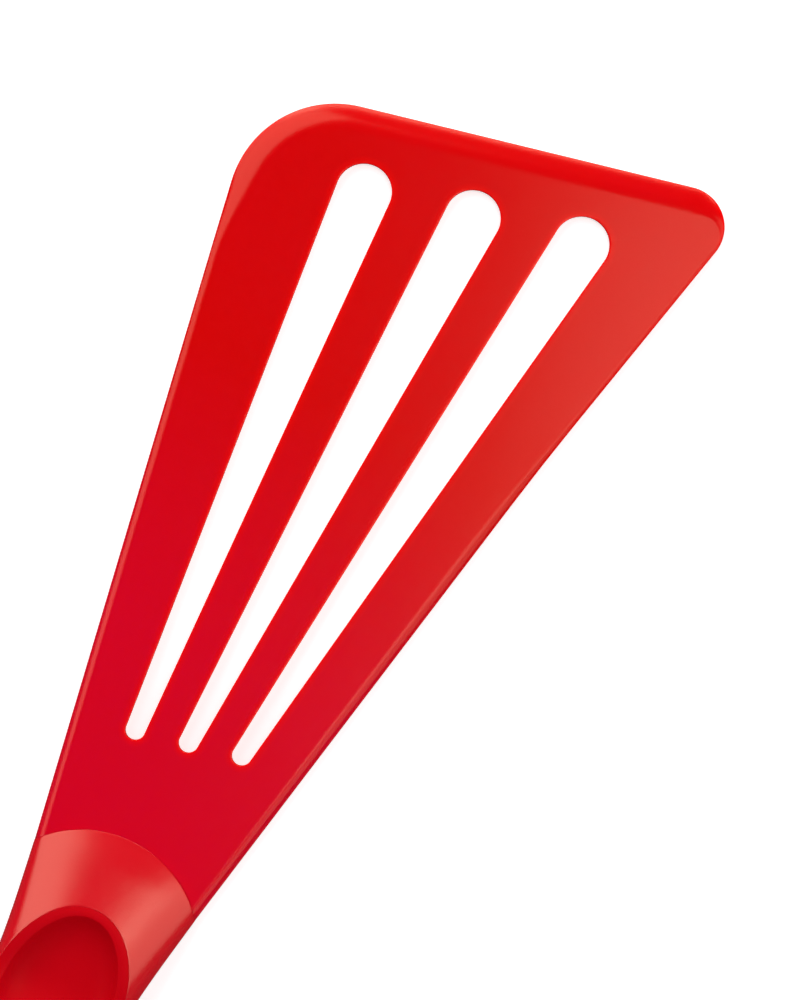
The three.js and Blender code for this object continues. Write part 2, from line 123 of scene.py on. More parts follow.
# Thumb pad
PAD_FRONT = 7.5
PAD_LENGTH = 36.4
PAD_SIDE_LAND = 0.8
PAD_THICKNESS = 1.2
PAD_SEAM = 0.01
PAD_EASE = 0.06
RING_FRONT = 1.6
RING_SIDE = 2.1
RING_EASE = 0.1
DISH_DEPTH = 2.7
DISH_POWER = 6
PAD_HALF_LENGTH = PAD_LENGTH / 2
PAD_CENTRE = PAD_FRONT + PAD_HALF_LENGTH

# Fineness: the guard is a narrow band beside a rounded edge that keeps the face next to it flat
ARC_STEP = math.radians(3)
EDGE_STEP = 1.5
EASE_STEPS = 4
RIM_STEPS = 16
GUARD = 0.3
BLADE_GRID = 4
GRID_HALF_WIDTH = 3 * MOUTH_HALF
GRID_LENGTH = 1.1 * BLADE_LENGTH
SKIN_GRID = 1.2
SKIN_WIDTH = 18
CROSS_STEPS = 48
CRESCENT_ROUNDS = 12
PAD_POINTS = 120
DISH_STEPS = 22
DISH_CROWDING = 1.7
WELD = 0.002
SHARP_ANGLE = math.radians(32)
INSIDE_ONLY = 1
SAME_POINT = 1e-6

# Reds, tints of their shine, and what the moulded finishes share. The near red turns into the far one
# between two places along the tool, in metres ahead of the model's origin.
CRIMSON = (0.72, 0.0005, 0.02)
SCARLET = (0.695, 0.0005, 0.0005)
HANDLE_RED = (0.665, 0.0005, 0.011)
# The thumb pad's red is darker than the handle's: painted shade for its recessed dish, on the pad's ring as
# well
SHADED_PAD_RED = (0.565, 0.0005, 0.007)
# Painted glow: a brighter red mixed into the base colour near thin edges, standing in for light through
# them
PAINTED_GLOW_RED = (0.87, 0.001, 0.001)
WARM = (1, 0.6, 0.42)
PALE = (1, 0.72, 0.53)
TURN_START = 0.027
TURN_END = 0.08
TURN_SHARE = 0.8
UNEVENNESS = 0.2
WAVE_DEPTH = 0.05 * MM
GLOSS_SPREAD = 0.03
PLASTIC_IOR = 1.5
SCATTER_RADIUS = (1, 0.12, 0.08)
SCATTER_SCALE = 1.5 * MM
BROAD_NOISE = {"Scale": 45, "Detail": 3, "Roughness": 0.55}
GRAIN_NOISE = {"Detail": 2, "Roughness": 0.6}
SCUFF_NOISE = {"Scale": 420, "Detail": 4, "Roughness": 0.65}

# Steel
DARK_STEEL = (0.5, 0.51, 0.53)
LIGHT_STEEL = (0.68, 0.68, 0.69)
STEEL_ROUGHNESS = (0.25, 0.42)
LINE_STRETCH = (3000, 60, 3000)
LINE_NOISE = {"Scale": 1, "Detail": 3}

# Camera, straight above with a long lens, turned so that the tool leans as in the photograph
TOOL_LEAN = math.radians(26.97)
PICTURE_HEIGHT = 185 * MM
PICTURE_MIDDLE = Vector((15.12 * MM, 70.7 * MM, 0))
CAMERA_HEIGHT = 1.6
CAMERA_REACH = 100
SENSOR = 36

# Stage: a white floor that turns up into a low white wall far off, in a dim room
FLOOR_RADIUS = 9
FLOOR_RINGS = (0.4, 1.2, 3)
FLOOR_POINTS = 96
FLOOR_DROP = 0.05 * MM
WALL_CURVE = 1
WALL_STEPS = 8
WALL_HEIGHT = 2.5
PAPER_WHITE = 0.8
PAPER_GLOW = 0.6
MIRRORED_WHITE = 0.05
MIRRORED_GLOW = 0.02
ROOM_LIGHT = 0.015


class Solid:
    """Points and faces of one closed piece, with the points' painted glow: a brighter red that stands in
    for light through thin edges.
    """

    def __init__(self):
        self.points = []
        self.painted_glows = []
        self.faces = []

    def ring(self, points, painted_glows=None):
        """Adds points and gives their numbers."""
        start = len(self.points)
        self.points.extend(Vector(point) for point in points)
        indices = list(range(start, len(self.points)))
        self.painted_glows.extend(painted_glows or [0] * len(indices))
        return indices

    def strips(self, rings, closed):
        """Faces between each ring and the next."""
        for first, second in zip(rings, rings[1:]):
            count = len(first)
            for i in range(count if closed else count - 1):
                after = (i + 1) % count
                self.faces.append((first[i], first[after], second[after], second[i]))

    def fill(self, loops, flatten, inside=(), spacing=0):
        """Triangles within the first loop and outside the others, through the points inside."""
        indices = []
        flat = []
        bounds = []
        for loop in loops:
            outline = [Vector(flatten(self.points[i])) for i in loop]
            turning = sum(a.cross(b) for a, b in zip(outline, outline[1:] + outline[:1]))
            numbers = range(len(flat), len(flat) + len(loop))
            bounds.append(list(numbers if turning > 0 else reversed(numbers)))
            indices += loop
            flat += outline
        tree = KDTree(len(flat))
        for i, point in enumerate(flat):
            tree.insert(point.to_3d(), i)
        tree.balance()
        for i in inside:
            point = Vector(flatten(self.points[i]))
            if tree.find(point.to_3d())[2] > spacing / 2:
                indices.append(i)
                flat.append(point)
        result = delaunay_2d_cdt(flat, [], bounds, INSIDE_ONLY, SAME_POINT)
        _, _, triangles, origins, _, within = result
        for triangle, loops_round_it in zip(triangles, within):
            if loops_round_it == [0]:
                self.faces.append([indices[origins[i][0]] for i in triangle])


def plan(point):
    """A point as seen from above."""
    return point.x, point.y


def quarter(steps):
    return np.linspace(0, math.pi / 2, steps + 1)


def eased(radius):
    """Distance in from an edge and drop below the face, over a rounded edge from the face outwards."""
    turns = quarter(EASE_STEPS)
    rounds = [(radius * (1 - math.sin(turn)), radius * (1 - math.cos(turn))) for turn in turns]
    return [(radius + GUARD, 0)] + rounds


def arc(centre, radius, start, end):
    """Points round a centre from one angle to another."""
    steps = max(2, math.ceil(abs(end - start) / ARC_STEP))
    angles = np.linspace(start, end, steps + 1)
    return [centre + Vector((math.cos(angle), math.sin(angle))) * radius for angle in angles]


def spaced(points):
    """An open outline with further points on its long straight stretches."""
    result = [points[0]]
    for before, after in zip(points, points[1:]):
        steps = max(1, math.ceil((after - before).length / EDGE_STEP))
        result += [before.lerp(after, (i + 1) / steps) for i in range(steps)]
    return result


def round_ended(near, near_radius, far, far_radius):
    """The outline round two circles."""
    reach = far - near
    way = math.atan2(reach.y, reach.x)
    spread = math.pi / 2 + math.asin((far_radius - near_radius) / reach.length)
    outline = arc(far, far_radius, way - spread, way + spread)
    outline += arc(near, near_radius, way + spread, way + 2 * math.pi - spread)
    return spaced(outline + outline[:1])[:-1]


# Blade


def blade_thickness(y):
    return NECK_THICKNESS + (TIP_THICKNESS - NECK_THICKNESS) * y / BLADE_LENGTH


def blade_underside(y):
    return 0


def heading(angle):
    """The direction at an angle from the tool's axis towards its right."""
    return Vector((math.sin(angle), math.cos(angle)))


def smooth_step(share):
    share = min(1, max(0, share))
    return share ** 2 * (3 - 2 * share)


def meet(first, first_way, second, second_way):
    """Where two lines meet, each given by a point and a direction."""
    return first + first_way * ((second - first).cross(second_way) / first_way.cross(second_way))


def rounded_corner(before, at, after, radius):
    """The arc that rounds a corner of an outline."""
    back = (before - at).normalized()
    ahead = (after - at).normalized()
    half = back.angle(ahead) / 2
    turn = math.copysign(math.pi / 2 - half, ahead.cross(back))
    centre = at + (back + ahead).normalized() * (radius / math.sin(half))
    middle = math.atan2(at.y - centre.y, at.x - centre.x)
    return arc(centre, radius, middle - turn, middle + turn)


def painted_glow_share(inset):
    """Share of the painted glow, which stands in for light through a thin edge, at a distance in from it.
    """
    return max(0, 1 - inset / PAINTED_GLOW_REACH) ** 2


def blade_edge():
    """The blade's edge from one end of the crescent round to the other.

    Gives its points, their outward directions, the rim there and how thin its edge is.
    """
    right_way = heading(FLARE)
    tip_way = heading(TIP_FLARE)
    lead_way = heading(-LEAD_SKEW - math.pi / 2)
    left_way = heading(math.pi - FLARE)
    right_end = Vector((MOUTH_HALF, 0))
    left_end = Vector((-MOUTH_HALF, 0))
    lead_middle = Vector((0, BLADE_LENGTH))
    flare = right_end + right_way * (TIP_FLARE_START / right_way.y)
    sharp = meet(flare, tip_way, lead_middle, lead_way)
    blunt = meet(lead_middle, lead_way, left_end, left_way)
    outline = [right_end]
    outline += rounded_corner(right_end, flare, sharp, TIP_FLARE_RADIUS)
    outline += rounded_corner(flare, sharp, blunt, SHARP_CORNER)
    outline += rounded_corner(sharp, blunt, left_end, ROUND_CORNER)
    outline = spaced(outline + [left_end])
    ways = [(after - before).normalized() for before, after in zip(outline, outline[1:])]
    joined = [(a + b).normalized() for a, b in zip(ways[:1] + ways, ways + ways[-1:])]
    outward = [Vector((way.y, -way.x)) for way in joined]

    rims = []
    thinness = []
    for point, out in zip(outline, outward):
        behind_corner = (point - blunt).dot(left_way)
        slim = smooth_step((point.y - SLIM_START) / SLIM_RUN) if out.x > 0 else 0
        run_out = smooth_step((ROUND_CORNER + BEVEL_TAIL - behind_corner) / BEVEL_RUNOUT)
        bevel = out.y ** 2 if out.x > 0 else run_out
        rims.append(SIDE_RIM.lerp(SLIM_RIM, slim).lerp(LEAD_RIM, bevel))
        thinness.append(max(slim, bevel / 2))
    return outline, outward, rims, thinness


def onto_crescent(point, way):
    """The point moved along a direction until it lies on the blade's side of the crescent seam."""
    offset = point - Vector((0, CRESCENT_CENTRE))
    radius = CRESCENT_RADIUS + BLADE_SEAM
    along = offset.dot(way)
    return point + way * (math.sqrt(along ** 2 - offset.dot(offset) + radius ** 2) - along)


def slot_outline(number, grow):
    """A slot's outline, grown outwards. The ends of the slots lie in rows along the leading edge's skew."""
    step = number - (SLOT_COUNT - 1) / 2
    rise = math.tan(LEAD_SKEW)
    far_step = step * SLOT_FAR_PITCH
    near_step = step * SLOT_NEAR_PITCH
    far = Vector((SLOT_FAR_SHIFT + far_step, BLADE_LENGTH - SLOT_FAR_SETBACK + far_step * rise))
    near = Vector((SLOT_NEAR_SHIFT + near_step, SLOT_NEAR_DISTANCE + near_step * rise))
    return round_ended(near, SLOT_NEAR_RADIUS + grow, far, SLOT_FAR_RADIUS + grow)


def blade_rim(solid):
    """Rings of the blade's edge from its underside up over the rim to its top face."""
    outline, outward, rims, thinness = blade_edge()

    def ring(inset, level):
        insets = [inset(rim[0]) for rim in rims]
        points = [at - way * depth for at, way, depth in zip(outline, outward, insets)]
        points[0] = onto_crescent(points[0], heading(FLARE))
        points[-1] = onto_crescent(points[-1], heading(-FLARE))
        levels = [(p.x, p.y, level(p.y, rim)) for p, rim in zip(points, rims)]
        # Each point carries its share of the painted glow, a brighter red near thin edges
        return solid.ring(levels, [thin * painted_glow_share(depth) for thin, depth in zip(thinness, insets)])

    def rim_level(reach):
        def level(y, rim):
            _, edge, roundness = rim
            return edge + (blade_thickness(y) - edge) * (1 - reach ** 2) ** (1 / roundness)
        return level

    rings = [ring(lambda width: inset, lambda *_: drop) for inset, drop in eased(UNDERSIDE_EASE)]
    for reach in np.cos(quarter(RIM_STEPS)):
        rings.append(ring(lambda width: width * (1 - reach), rim_level(reach)))
    rings.append(ring(lambda width: width + GUARD, rim_level(0)))
    solid.strips(rings, closed=False)
    return rings


def slot_wall(solid, number):
    """Rings up a slot's wall, with eased edges at both faces of the blade."""
    lower = []
    upper = []
    # The first rings lie at the painted glow's reach and carry its share of the painted brighter red
    for grow, drop in [(PAINTED_GLOW_REACH, 0)] + eased(SLOT_EASE):
        outline = slot_outline(number, grow)
        painted_glows = [painted_glow_share(grow)] * len(outline)
        lower.append(solid.ring(((p.x, p.y, drop) for p in outline), painted_glows))
        upper.append(solid.ring(((p.x, p.y, blade_thickness(p.y) - drop) for p in outline), painted_glows))
    rings = lower + upper[::-1]
    solid.strips(rings, closed=True)
    return rings


def blade_scatter(solid, level):
    """Staggered points over the blade's face and past its outline."""
    across = np.arange(-GRID_HALF_WIDTH, GRID_HALF_WIDTH, BLADE_GRID)
    along = np.arange(0, GRID_LENGTH, BLADE_GRID)
    shifts = [BLADE_GRID / 2 * (row % 2) for row in range(len(along))]
    return solid.ring((x + shift, y, level(y)) for y, shift in zip(along, shifts) for x in across)


def blade():
    solid = Solid()
    rim = blade_rim(solid)
    slots = [slot_wall(solid, number) for number in range(SLOT_COUNT)]
    seam_centre = Vector((0, CRESCENT_CENTRE))
    seam_radius = CRESCENT_RADIUS + BLADE_SEAM

    def seam_angle(point):
        return math.atan2(point.y - CRESCENT_CENTRE, point.x)

    def seam(ring, level):
        ends = [seam_angle(solid.points[ring[i]]) for i in (-1, 0)]
        points = arc(seam_centre, seam_radius, *ends)[1:-1]
        return solid.ring((p.x, p.y, level(p.y)) for p in points)

    low_seam = seam(rim[0], blade_underside)
    high_seam = seam(rim[-1], blade_thickness)
    low_loops = [rim[0] + low_seam] + [rings[0] for rings in slots]
    high_loops = [rim[-1] + high_seam] + [rings[-1] for rings in slots]
    solid.fill(low_loops, plan, blade_scatter(solid, blade_underside), BLADE_GRID)
    solid.fill(high_loops, plan, blade_scatter(solid, blade_thickness), BLADE_GRID)
    right_end = [ring[0] for ring in rim]
    left_end = [ring[-1] for ring in rim]
    mouth = low_seam + right_end + high_seam[::-1] + left_end[::-1]
    solid.fill([mouth], lambda point: (seam_angle(point) * seam_radius, point.z))
    return solid


# Handle: its upper skin has side 1 and its lower skin has side -1


def parting(behind):
    """Height of the parting plane at a distance behind the mouth."""
    return NECK_THICKNESS / 2 + behind * HANDLE_RISE


def station_slopes():
    """Slope of each value at each station, taken across its neighbours."""
    padded = np.vstack([STATIONS[:1], STATIONS, STATIONS[-1:]])
    step = padded[2:] - padded[:-2]
    return step[:, 1:] / step[:, :1]


SLOPES = station_slopes()


def section(behind):
    """Half width, crown and belly on a smooth curve through the stations."""
    at = STATIONS[:, 0]
    behind = min(max(behind, at[0]), at[-1])
    i = min(np.searchsorted(at, behind, side="right") - 1, len(at) - 2)
    span = at[i + 1] - at[i]
    share = (behind - at[i]) / span
    rest = 1 - share
    ends = STATIONS[i, 1:] * rest ** 2 * (1 + 2 * share) + STATIONS[i + 1, 1:] * share ** 2 * (1 + 2 * rest)
    bends = span * share * rest * (SLOPES[i] * rest - SLOPES[i + 1] * share)
    half_width, crown, belly = ends + bends
    return half_width, crown, min(belly, parting(behind))


def dome_turn(along):
    """Angle over the butt's dome, which is 0 ahead of it."""
    return max(0, along - BUTT_START) / DOME_ARC * math.pi / 2


def skin_section(side, along):
    """Distance behind the mouth, half width, height and edge angle of a skin.

    along runs along the handle and on over the butt's dome.
    """
    turn = dome_turn(along)
    behind = min(along, BUTT_START) + BUTT_DOME * math.sin(turn)
    half_width, crown, belly = section(min(behind, BUTT_START))
    height = (crown if side > 0 else belly) * math.cos(turn)
    edge = math.acos((PART_GAP / 2 / height) ** (SECTION_POWER / 2))
    return behind, half_width * math.cos(turn), height, edge


def skin_point(side, across, along):
    """A point of the skin, with across from -1 to 1 between its edges."""
    behind, half_width, height, edge = skin_section(side, along)
    angle = across * edge
    x = half_width * math.copysign(abs(math.sin(angle)) ** (2 / SECTION_POWER), angle)
    return Vector((x, -behind, parting(behind) + side * height * math.cos(angle) ** (2 / SECTION_POWER)))


def skin_along(behind):
    """How far along the skin a distance behind the mouth lies."""
    past = max(0, behind - BUTT_START)
    return min(behind, BUTT_START) + DOME_ARC * math.asin(min(1, past / BUTT_DOME)) / (math.pi / 2)


def skin_flat(side, point):
    """Where a point of the skin lies when the skin is laid flat."""
    along = skin_along(-point.y)
    _, half_width, _, edge = skin_section(side, along)
    angle = math.asin(min(1, (abs(point.x) / half_width) ** (SECTION_POWER / 2)))
    return math.copysign(angle / edge, point.x) * SKIN_WIDTH, along


def skin_level(side, x, behind):
    """Height of the skin over a place in plan."""
    _, half_width, height, _ = skin_section(side, skin_along(behind))
    share = min(1, abs(x) / half_width)
    return parting(behind) + side * height * (1 - share ** SECTION_POWER) ** (1 / SECTION_POWER)


def crescent_outline(side, inset):
    """The handle's front edge, drawn back by an inset."""
    radius = CRESCENT_RADIUS - inset
    outline = []
    for across in np.linspace(-1, 1, 2 * CROSS_STEPS + 1):
        along = 0
        for _ in range(CRESCENT_ROUNDS):
            x = skin_point(side, across, along).x
            along = -CRESCENT_CENTRE - math.sqrt(radius ** 2 - x ** 2)
        outline.append((x, along))
    return outline


def hang_outline(grow):
    """The hanging hole's outline, grown outwards."""
    half = (HANG_LENGTH - HANG_WIDTH) / 2
    middle = HANG_INSET - HANDLE_LENGTH
    ends = [Vector((0, middle - half)), Vector((0, middle + half))]
    radius = HANG_WIDTH / 2 + grow
    return [(p.x, -p.y) for p in round_ended(ends[0], radius, ends[1], radius)]


def pad_oval(along, across):
    """Points round the thumb pad's oval, drawn in by distances at its ends and at its sides."""
    angles = np.linspace(0, 2 * math.pi, PAD_POINTS, endpoint=False)
    half_length = PAD_HALF_LENGTH - along
    half_width = PAD_HALF_WIDTH - across
    return [(half_width * math.sin(a), PAD_CENTRE + half_length * math.cos(a)) for a in angles]


def pad_pocket(grow):
    """The outline of the opening that takes the thumb pad, grown outwards."""
    seam = PAD_SEAM + grow
    return pad_oval(-seam, -seam)


def skin_edge(solid, side, outline_at, radius, closed):
    """Rings over the rounded edge of an opening in the skin and down to the parting plane."""
    rings = []
    for inset, drop in eased(radius):
        points = []
        for x, behind in outline_at(inset):
            floor = side * parting(behind) + PART_GAP / 2
            level = side * skin_level(side, x, behind) - drop
            points.append((x, -behind, side * max(floor, level)))
        rings.append(solid.ring(points))
    foot = [solid.points[i] for i in rings[-1]]
    rings.append(solid.ring((p.x, p.y, parting(-p.y) + side * PART_GAP / 2) for p in foot))
    solid.strips(rings, closed)
    return rings


def handle_half(side, openings):
    """The upper or lower half of the handle, flat on the parting plane, with openings in its skin."""
    solid = Solid()
    lip = skin_edge(solid, side, lambda inset: crescent_outline(side, inset), LIP_EASE, closed=False)
    holes = [skin_edge(solid, side, outline, radius, closed=True) for outline, radius in openings]

    def side_line(end):
        front = skin_along(-solid.points[lip[0][end]].y)
        stops = np.arange(front + SKIN_GRID, SKIN_END, SKIN_GRID)
        return solid.ring(skin_point(side, -1 if end == 0 else 1, stop) for stop in stops)

    left = side_line(0)
    right = side_line(-1)
    butt = solid.ring(skin_point(side, across, SKIN_END) for across in np.linspace(1, -1, CROSS_STEPS // 2))
    inside = solid.ring(
        skin_point(side, across, along)
        for along in np.arange(-CRESCENT_APEX, SKIN_END, SKIN_GRID)
        for across in np.linspace(-1, 1, CROSS_STEPS + 1)[1:-1]
    )
    outer = lip[0] + right + butt + left[::-1]
    loops = [outer] + [rings[0] for rings in holes]
    solid.fill(loops, lambda point: skin_flat(side, point), inside, SKIN_GRID)
    solid.faces.append(butt)
    right_end = [ring[-1] for ring in lip[::-1]]
    left_end = [ring[0] for ring in lip]
    floor = lip[-1] + right_end[1:] + right + [butt[0], butt[-1]] + left[::-1] + left_end[:-1]
    solid.fill([floor] + [rings[-1] for rings in holes], plan)
    return solid


def handle_hollow():
    """The space inside the handle behind the thumb pad."""
    solid = Solid()
    rings = []
    for along in np.linspace(HOLLOW_START, SKIN_END, CROSS_STEPS):
        turn = dome_turn(along)
        behind = min(along, BUTT_START) + (BUTT_DOME - HANDLE_WALL) * math.sin(turn)
        sizes = section(min(behind, BUTT_START))
        half_width, crown, belly = [(size - HANDLE_WALL) * math.cos(turn) for size in sizes]
        points = []
        for angle in np.linspace(0, 2 * math.pi, CROSS_STEPS, endpoint=False):
            height = (crown if angle < math.pi else belly) * math.sin(angle)
            points.append((half_width * math.cos(angle), -behind, parting(behind) + height))
        rings.append(solid.ring(points))
    solid.strips(rings, closed=True)
    solid.faces += [rings[0], rings[-1]]
    return solid


# Thumb pad

PAD_HALF_WIDTH = section(PAD_CENTRE)[0] - PAD_SIDE_LAND


def pad_level(behind):
    """Level of the pad's ring, straight across between the points where its oval meets the crown."""
    share = min(1, abs(behind - PAD_CENTRE) / PAD_HALF_LENGTH)
    return skin_level(1, PAD_HALF_WIDTH * math.sqrt(1 - share ** 2), behind)


def pad_profile():
    """Distances in from the oval's ends and sides, and depth, from the ring's edge to the dish's middle."""
    profile = [(inset, inset, drop) for inset, drop in eased(PAD_EASE)[:0:-1]]
    profile.append((RING_FRONT / 2, RING_SIDE / 2, 0))
    for step in range(DISH_STEPS):
        share = (step / DISH_STEPS) ** DISH_CROWDING
        drop = (DISH_DEPTH + RING_EASE) * (1 - (1 - share) ** DISH_POWER)
        profile.append((
            RING_FRONT + (PAD_HALF_LENGTH - RING_FRONT) * share,
            RING_SIDE + (PAD_HALF_WIDTH - RING_SIDE) * share,
            math.hypot(drop, RING_EASE) - RING_EASE,
        ))
    return profile


def thumb_pad():
    solid = Solid()

    def ring(along, across, drop):
        return solid.ring((x, -behind, pad_level(behind) - drop) for x, behind in pad_oval(along, across))

    profile = pad_profile()
    under = [ring(along, across, drop + PAD_THICKNESS) for along, across, drop in profile]
    over = [ring(*step) for step in profile]
    solid.strips(under[::-1] + over, closed=True)
    solid.faces += [under[-1], over[-1]]
    return solid


# Finishes: a node's input takes a value or another node's output


def new_material(name):
    material = bpy.data.materials.new(name)
    material.use_nodes = True
    return material, material.node_tree


def feed(tree, node, inputs):
    for name, value in dict(inputs).items():
        if isinstance(value, bpy.types.NodeSocket):
            tree.links.new(value, node.inputs[name])
        else:
            node.inputs[name].default_value = value


def add_node(tree, kind, settings=(), inputs=()):
    node = tree.nodes.new(kind)
    for name, value in dict(settings).items():
        setattr(node, name, value)
    feed(tree, node, inputs)
    return node


def object_place(tree):
    return add_node(tree, "ShaderNodeTexCoord").outputs["Object"]


def noise(tree, place, inputs):
    return add_node(tree, "ShaderNodeTexNoise", inputs={"Vector": place, **inputs}).outputs["Fac"]


def computed(tree, operation, *values):
    return add_node(tree, "ShaderNodeMath", {"operation": operation}, enumerate(values)).outputs["Value"]


def ranged(tree, value, low, high, start=0, end=1):
    """Goes from low to high while the value goes from start to end."""
    inputs = {"Value": value, "From Min": start, "From Max": end, "To Min": low, "To Max": high}
    return add_node(tree, "ShaderNodeMapRange", inputs=inputs).outputs["Result"]


def mixed(tree, share, first, second):
    """The first colour at a share of 0 and the second at 1."""
    inputs = {"Factor": share, "A": first, "B": second}
    return add_node(tree, "ShaderNodeMix", {"data_type": "RGBA"}, inputs).outputs["Result"]


def bumped(tree, height, depth, over=None):
    """Bumps of a depth in metres, on top of other bumps if they are given."""
    inputs = {"Height": height, "Distance": depth, "Strength": 1}
    if over is not None:
        inputs["Normal"] = over
    return add_node(tree, "ShaderNodeBump", inputs=inputs).outputs["Normal"]


def moulded(name, near, far, roughness, shine, shine_tint, grain, grain_depth, scatter):
    """A moulded red finish: fine grain and broad unevenness in colour and gloss.

    The colour goes from the near one at the neck to the far one at the tip, and near the blade's thin
    edges a painted glow, a brighter red, stands in for light that comes through them.
    """
    material, tree = new_material(name)
    place = object_place(tree)
    broad = noise(tree, place, BROAD_NOISE)
    fine = noise(tree, place, {"Scale": grain, **GRAIN_NOISE})
    scuff = noise(tree, place, SCUFF_NOISE)
    axes = add_node(tree, "ShaderNodeSeparateXYZ", inputs={"Vector": place})
    along = ranged(tree, axes.outputs["Y"], 0, TURN_SHARE, TURN_START, TURN_END)
    uneven = computed(tree, "MULTIPLY_ADD", broad, UNEVENNESS, along)
    tint = mixed(tree, uneven, (*near, 1), (*far, 1))
    # Painted glow: the base colour turns towards a brighter red near thin edges, standing in for light
    # through them
    glow = add_node(tree, "ShaderNodeAttribute", {"attribute_name": "glow"}).outputs["Fac"]
    waves = bumped(tree, broad, WAVE_DEPTH)
    feed(tree, tree.nodes["Principled BSDF"], {
        "Base Color": mixed(tree, glow, tint, (*PAINTED_GLOW_RED, 1)),
        "Roughness": ranged(tree, scuff, roughness - GLOSS_SPREAD, roughness + GLOSS_SPREAD),
        "Normal": bumped(tree, fine, grain_depth * MM, over=waves),
        "IOR": PLASTIC_IOR,
        "Specular IOR Level": shine,
        "Specular Tint": (*shine_tint, 1),
        "Subsurface Weight": scatter,
        "Subsurface Radius": SCATTER_RADIUS,
        "Subsurface Scale": SCATTER_SCALE,
    })
    return material


def brushed_steel():
    """Steel with fine drawn lines along the tool."""
    material, tree = new_material("brushed_steel")
    stretch = {"Vector": object_place(tree), "Scale": LINE_STRETCH}
    stretched = add_node(tree, "ShaderNodeMapping", inputs=stretch).outputs["Vector"]
    lines = noise(tree, stretched, LINE_NOISE)
    feed(tree, tree.nodes["Principled BSDF"], {
        "Metallic": 1,
        "Base Color": mixed(tree, lines, (*DARK_STEEL, 1), (*LIGHT_STEEL, 1)),
        "Roughness": ranged(tree, lines, *STEEL_ROUGHNESS),
    })
    return material


def white_paper():
    """White to the eye, dim in reflections, with the object's soft shadow on it."""
    material, tree = new_material("white_paper")
    tree.nodes.clear()
    rays = add_node(tree, "ShaderNodeLightPath").outputs
    mirrored = computed(tree, "MAXIMUM", rays["Is Glossy Ray"], rays["Is Transmission Ray"])
    dimmed = computed(tree, "MULTIPLY", mirrored, MIRRORED_GLOW)
    level = computed(tree, "MULTIPLY_ADD", rays["Is Camera Ray"], PAPER_GLOW, dimmed)
    white = computed(tree, "MULTIPLY_ADD", mirrored, MIRRORED_WHITE - PAPER_WHITE, PAPER_WHITE)
    paper = add_node(tree, "ShaderNodeBsdfDiffuse", inputs={"Color": white})
    glow = add_node(tree, "ShaderNodeEmission", inputs={"Color": (1, 1, 1, 1), "Strength": level})
    sheets = {0: paper.outputs["BSDF"], 1: glow.outputs["Emission"]}
    both = add_node(tree, "ShaderNodeAddShader", inputs=sheets)
    add_node(tree, "ShaderNodeOutputMaterial", inputs={"Surface": both.outputs["Shader"]})
    return material


# Pieces


def new_object(name, data):
    """An object with the given data, in the scene."""
    item = bpy.data.objects.new(name, data)
    bpy.context.scene.collection.objects.link(item)
    return item


def welded(mesh):
    """An editable copy of a mesh, with points in the same place joined."""
    shape = bmesh.new()
    shape.from_mesh(mesh)
    bmesh.ops.remove_doubles(shape, verts=shape.verts, dist=WELD * MM)
    return shape


def make_object(name, solid):
    """A mesh object in metres from the model's origin, welded, with its faces turned outwards."""
    mesh = bpy.data.meshes.new(name)
    points = [(p.x * MM, (p.y - NECK_DATUM) * MM, p.z * MM) for p in solid.points]
    mesh.from_pydata(points, [], solid.faces)
    # The points' painted glow, a brighter red near thin edges, goes with the mesh as an attribute
    mesh.attributes.new("glow", "FLOAT", "POINT").data.foreach_set("value", solid.painted_glows)
    shape = welded(mesh)
    bmesh.ops.delete(shape, geom=[v for v in shape.verts if not v.link_faces], context="VERTS")
    bmesh.ops.recalc_face_normals(shape, faces=shape.faces)
    shape.to_mesh(mesh)
    shape.free()
    return new_object(name, mesh)


def inner_copy(node):
    """A welded copy of a hidden CAD node, to make room for it."""
    shape = welded(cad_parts[node].data)
    mesh = bpy.data.meshes.new(f"{node}_room")
    shape.to_mesh(mesh)
    shape.free()
    return new_object(mesh.name, mesh)


def cut(piece, room):
    """Takes the room out of the piece for good."""
    modifier = piece.modifiers.new(room.name, "BOOLEAN")
    modifier.operation = "DIFFERENCE"
    modifier.solver = "MANIFOLD"
    modifier.object = room
    graph = bpy.context.evaluated_depsgraph_get()
    mesh = bpy.data.meshes.new_from_object(piece.evaluated_get(graph))
    piece.modifiers.clear()
    piece.data = mesh


def dress(piece, node, material):
    """Gives a piece its finish and puts it in a CAD node's place."""
    piece.data.materials.clear()
    piece.data.materials.append(material)
    piece.data.shade_smooth()
    piece.data.set_sharp_from_angle(angle=SHARP_ANGLE)
    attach(piece, "root")
    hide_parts(node)


silicone = moulded(
    "silicone_red", CRIMSON, SCARLET, roughness=0.18, shine=0.46, shine_tint=WARM,
    grain=2600, grain_depth=0.007, scatter=0.5,
)
nylon = moulded(
    "nylon_red", HANDLE_RED, SCARLET, roughness=0.2, shine=0.92, shine_tint=PALE,
    grain=3600, grain_depth=0.02, scatter=0.15,
)
# The pad's darker red is painted shade for its recessed dish; its matte, low shine is the soft-touch finish
soft_touch = moulded(
    "soft_touch_red", SHADED_PAD_RED, SCARLET, roughness=0.4, shine=0.06, shine_tint=WARM,
    grain=3000, grain_depth=0.006, scatter=0.2,
)
steel = brushed_steel()

blade_piece = make_object("blade", blade())
hang_opening = (hang_outline, HANG_EASE)
pad_opening = (pad_pocket, PAD_EASE)
top_piece = make_object("handle_top", handle_half(1, [pad_opening, hang_opening]))
bottom_piece = make_object("handle_bottom", handle_half(-1, [hang_opening]))
pad_piece = make_object("thumb_rest", thumb_pad())

core_room = inner_copy("blade_core")
pin_rooms = [inner_copy("tang_pin_front"), inner_copy("tang_pin_rear")]
hollow = make_object("handle_hollow", handle_hollow())
rooms = [hollow, core_room, *pin_rooms]
cut(blade_piece, core_room)
for shell in (top_piece, bottom_piece):
    for room in rooms:
        cut(shell, room)
for room in rooms:
    bpy.data.objects.remove(room)

